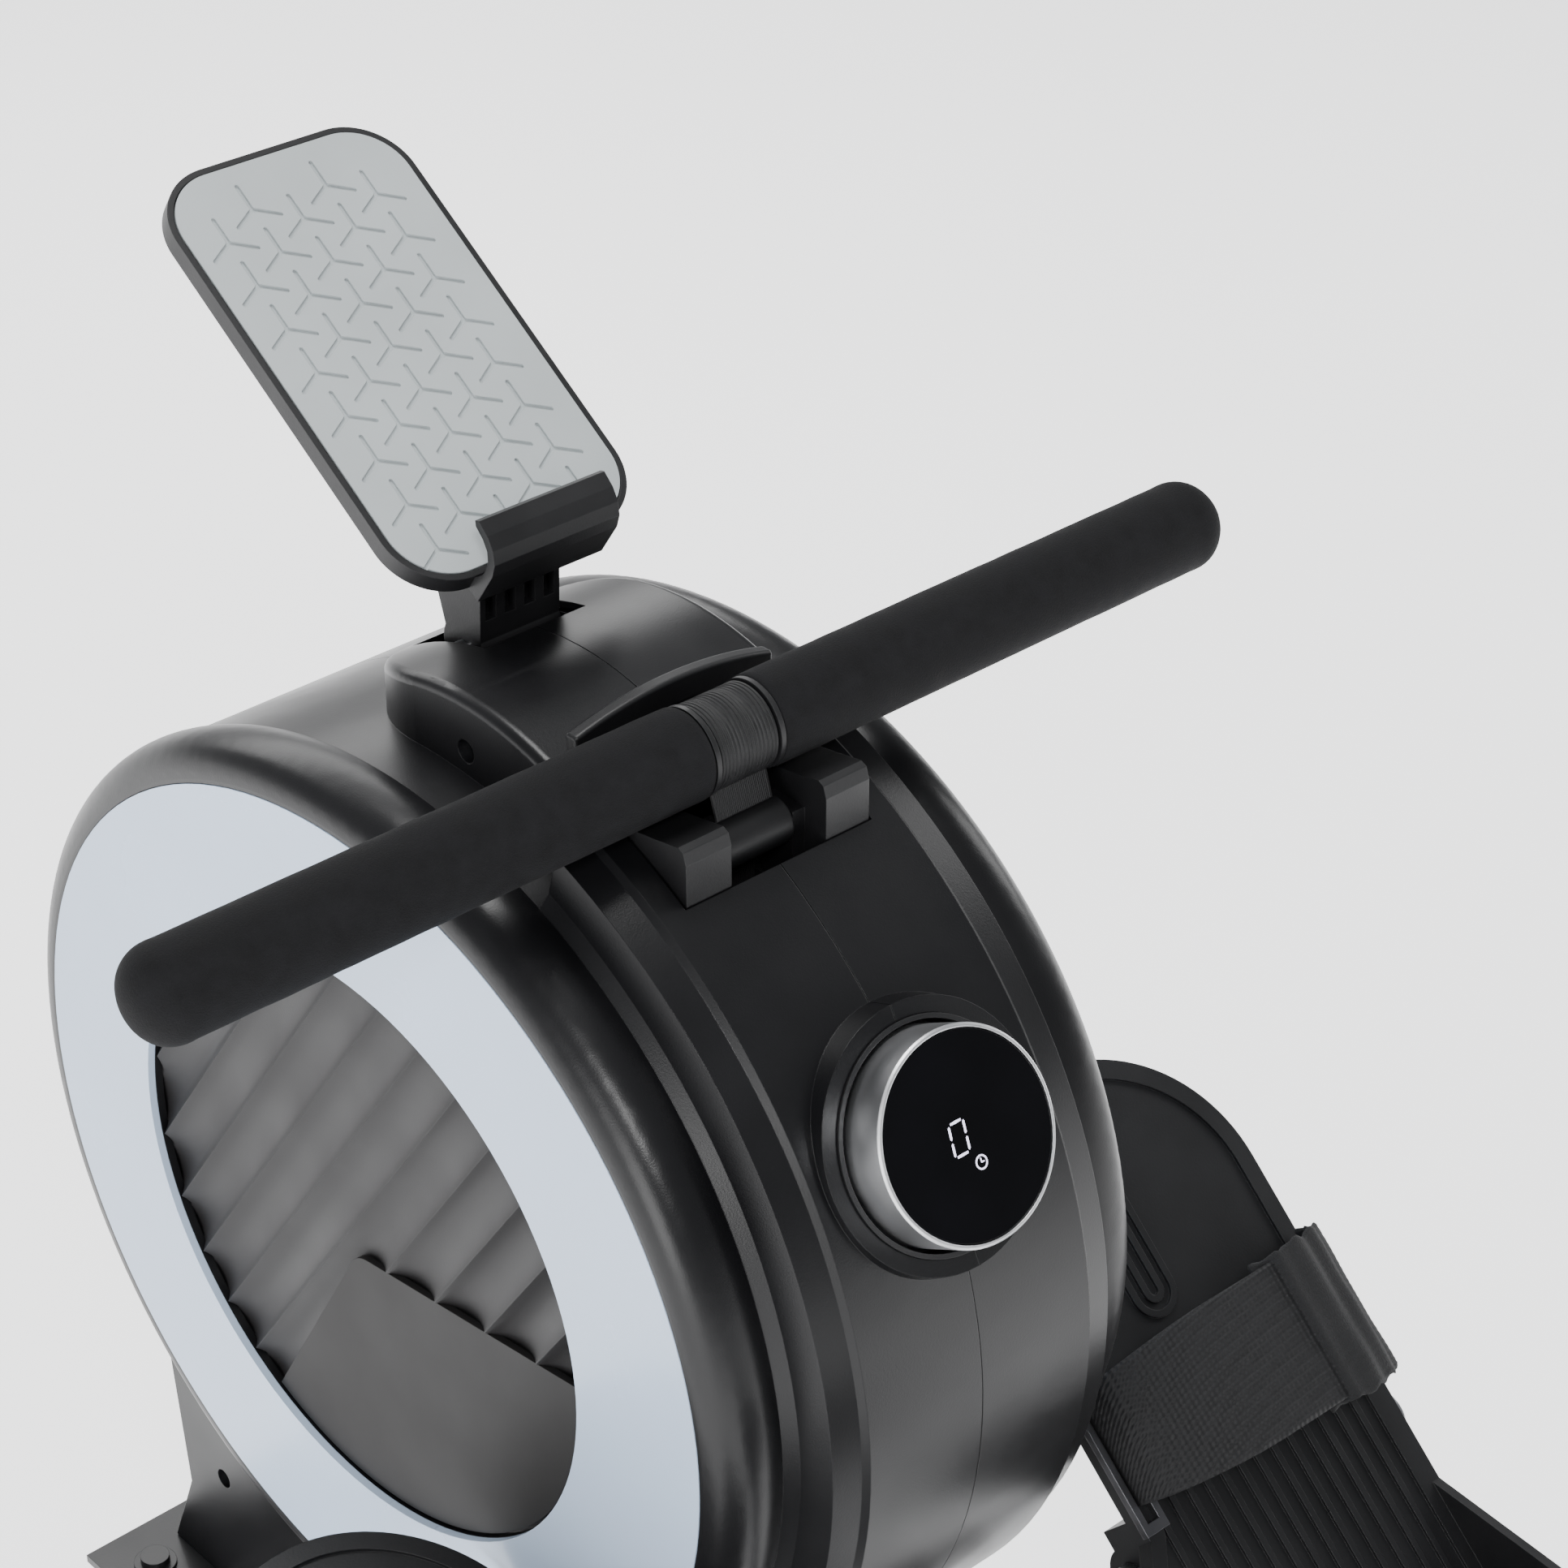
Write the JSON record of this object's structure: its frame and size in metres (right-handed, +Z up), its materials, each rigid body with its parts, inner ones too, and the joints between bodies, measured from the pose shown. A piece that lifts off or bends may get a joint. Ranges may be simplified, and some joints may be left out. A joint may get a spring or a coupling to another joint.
{
  "type": "rowing machine",
  "caption": "Home rowing machine: round flywheel housing with side rings, foam pull handle in a cradle, tablet holder, round knob display, tilting pedals, sliding seat on a rail.",
  "frame": {"origin": "floor level under the middle of the whole machine", "axes": "+X the rower's right, +Y towards the flywheel end, +Z up"},
  "size_m": [0.498, 1.846, 0.7564],
  "materials": {
    "shell_black": "satin black, fine grain",
    "ring_pale_blue": "gloss pale blue-white",
    "panel_charcoal": "matte charcoal",
    "badge_charcoal": "matte dark grey",
    "moulded_black": "matte black",
    "frame_paint": "black powder coat",
    "rail_metal": "brushed",
    "axle_steel": "zinc plated",
    "handle_steel": "tube",
    "foam_black": "fine-celled foam",
    "webbing_black": "ribbed woven webbing",
    "knob_silver": "spun satin, bright rim",
    "display_glass": "black gloss",
    "circuit_green": "solder mask",
    "insert_grey": "light grey silicone, grooved",
    "flywheel_iron": "machined",
    "drive_steel": "pressed plate",
    "pulley_nylon": "moulded nylon",
    "belt_rubber": "ribbed belt",
    "spring_steel": "blue spring strip",
    "magnet_nickel": "nickel plate",
    "cable_sleeve": "sleeve",
    "cushion_black": "grained cover over foam",
    "roller_white": "white polyurethane",
    "strap_nylon": "woven nylon strap",
    "buckle_steel": "dark wire",
    "tyre_rubber": "solid wheel"
  },
  "bodies": {
    "frame": {"housing_right": "shell_black", "housing_left": "shell_black", "shell_screws": "axle_steel", "side_rings": "ring_pale_blue", "side_panels": "panel_charcoal", "badge_plates": "badge_charcoal", "handle_cradle": "moulded_black", "inner_shafts": "axle_steel", "webbing_run": "webbing_black", "drive_frame": "drive_steel", "belt": "belt_rubber", "spring_case": "moulded_black", "rewind_spring": "spring_steel", "tension_cable": "cable_sleeve", "display_housing": "moulded_black", "circuit_board": "circuit_green", "display_glass": "display_glass", "knob_cup": "moulded_black", "main_beam": "frame_paint", "rail": "rail_metal", "rail_fittings": "moulded_black", "pedal_bracket": "frame_paint", "saddles": "frame_paint", "stabilisers": "frame_paint", "end_caps": "moulded_black", "wheel_axles": "axle_steel", "pedal_axle": "axle_steel"},
    "handle": {"handle_bar": "handle_steel", "grips": "foam_black", "webbing_wrap": "webbing_black", "wrap_collars": "moulded_black"},
    "guide_roller": {"guide_roller": "pulley_nylon"},
    "spool": {"spool": "pulley_nylon", "webbing_coil": "webbing_black"},
    "drive_pulley": {"drive_pulley": "pulley_nylon"},
    "flywheel": {"flywheel": "flywheel_iron", "flywheel_bearings": "axle_steel"},
    "brake": {"brake_bracket": "drive_steel", "brake_magnets": "magnet_nickel"},
    "knob": {"knob_ring": "knob_silver"},
    "holder": {"holder_frame": "moulded_black", "holder_neck": "moulded_black", "holder_insert": "insert_grey"},
    "seat": {"seat_carriage": "frame_paint", "roller_axles": "axle_steel", "seat_base": "moulded_black", "seat_cushion": "cushion_black"},
    "front_rollers": {"front_rollers": "roller_white"},
    "rear_rollers": {"rear_rollers": "roller_white"},
    "lower_rollers": {"lower_rollers": "roller_white"},
    "pedal_right": {"pedal_right": "moulded_black", "foot_strap_right": "strap_nylon", "strap_buckle_right": "buckle_steel"},
    "pedal_left": {"pedal_left": "moulded_black", "foot_strap_left": "strap_nylon", "strap_buckle_left": "buckle_steel"},
    "transport_wheel_right": {"transport_wheel_right": "tyre_rubber"},
    "transport_wheel_left": {"transport_wheel_left": "tyre_rubber"}
  },
  "joints": [
    {"name": "seat_slide", "type": "slide", "parent": "frame", "child": "seat", "axis": [0, -1, 0], "range_m": [0, 0.8]},
    {"name": "front_roller_turn", "type": "hinge", "parent": "seat", "child": "front_rollers", "pos_m": [0, 0.123, 0.1803], "axis": [1, 0, 0], "range_deg": [-10, 2300]},
    {"name": "rear_roller_turn", "type": "hinge", "parent": "seat", "child": "rear_rollers", "pos_m": [0, -0.001, 0.1803], "axis": [1, 0, 0], "range_deg": [-10, 2300]},
    {"name": "lower_roller_turn", "type": "hinge", "parent": "seat", "child": "lower_rollers", "pos_m": [0, 0.061, 0.0677], "axis": [1, 0, 0], "range_deg": [-3800, 10]},
    {"name": "handle_pull", "type": "slide", "parent": "frame", "child": "handle", "axis": [0, -0.9877, 0.1564], "range_m": [0, 0.9], "stiffness_N_per_m": 16, "springref_m": -0.6},
    {"name": "guide_roller_turn", "type": "hinge", "parent": "frame", "child": "guide_roller", "pos_m": [0, 0.529, 0.587], "axis": [1, 0, 0], "range_deg": [-10, 5700]},
    {"name": "spool_turn", "type": "hinge", "parent": "frame", "child": "spool", "pos_m": [0, 0.569, 0.39], "axis": [1, 0, 0], "range_deg": [-1850, 10]},
    {"name": "flywheel_spin", "type": "hinge", "parent": "frame", "child": "flywheel", "pos_m": [0, 0.719, 0.37], "axis": [1, 0, 0], "continuous": true},
    {"name": "drive_pulley_turn", "type": "hinge", "parent": "frame", "child": "drive_pulley", "pos_m": [0.039, 0.569, 0.39], "axis": [1, 0, 0], "continuous": true},
    {"name": "pedal_right_tilt", "type": "hinge", "parent": "frame", "child": "pedal_right", "pos_m": [0.164, 0.422, 0.253], "axis": [1, 0, 0], "range_deg": [-40, 15]},
    {"name": "pedal_left_tilt", "type": "hinge", "parent": "frame", "child": "pedal_left", "pos_m": [-0.164, 0.422, 0.253], "axis": [1, 0, 0], "range_deg": [-8, 45]},
    {"name": "holder_tilt", "type": "hinge", "parent": "frame", "child": "holder", "pos_m": [0, 0.659, 0.612], "axis": [1, 0, 0], "range_deg": [-15, 25]},
    {"name": "knob_turn", "type": "hinge", "parent": "frame", "child": "knob", "pos_m": [0, 0.43, 0.5136], "axis": [0, -0.8755, 0.4833], "range_deg": [0, 300]},
    {"name": "brake_swing", "type": "hinge", "parent": "frame", "child": "brake", "pos_m": [0, 0.803, 0.452], "axis": [1, 0, 0], "range_deg": [-6, 0]},
    {"name": "wheel_right_spin", "type": "hinge", "parent": "frame", "child": "transport_wheel_right", "pos_m": [0.192, 0.898, 0.032], "axis": [1, 0, 0], "continuous": true},
    {"name": "wheel_left_spin", "type": "hinge", "parent": "frame", "child": "transport_wheel_left", "pos_m": [-0.192, 0.898, 0.032], "axis": [1, 0, 0], "continuous": true}
  ],
  "couplings": [
    {"joint": "front_roller_turn", "follows": "seat_slide", "rad_per_m": 49.261},
    {"joint": "rear_roller_turn", "follows": "seat_slide", "rad_per_m": 49.261},
    {"joint": "lower_roller_turn", "follows": "seat_slide", "rad_per_m": -81.301},
    {"joint": "guide_roller_turn", "follows": "handle_pull", "rad_per_m": 107.53},
    {"joint": "spool_turn", "follows": "handle_pull", "rad_per_m": -34.843},
    {"joint": "drive_pulley_turn", "follows": "flywheel_spin", "ratio": 0.33333},
    {"joint": "brake_swing", "follows": "knob_turn", "ratio": -0.02}
  ]
}
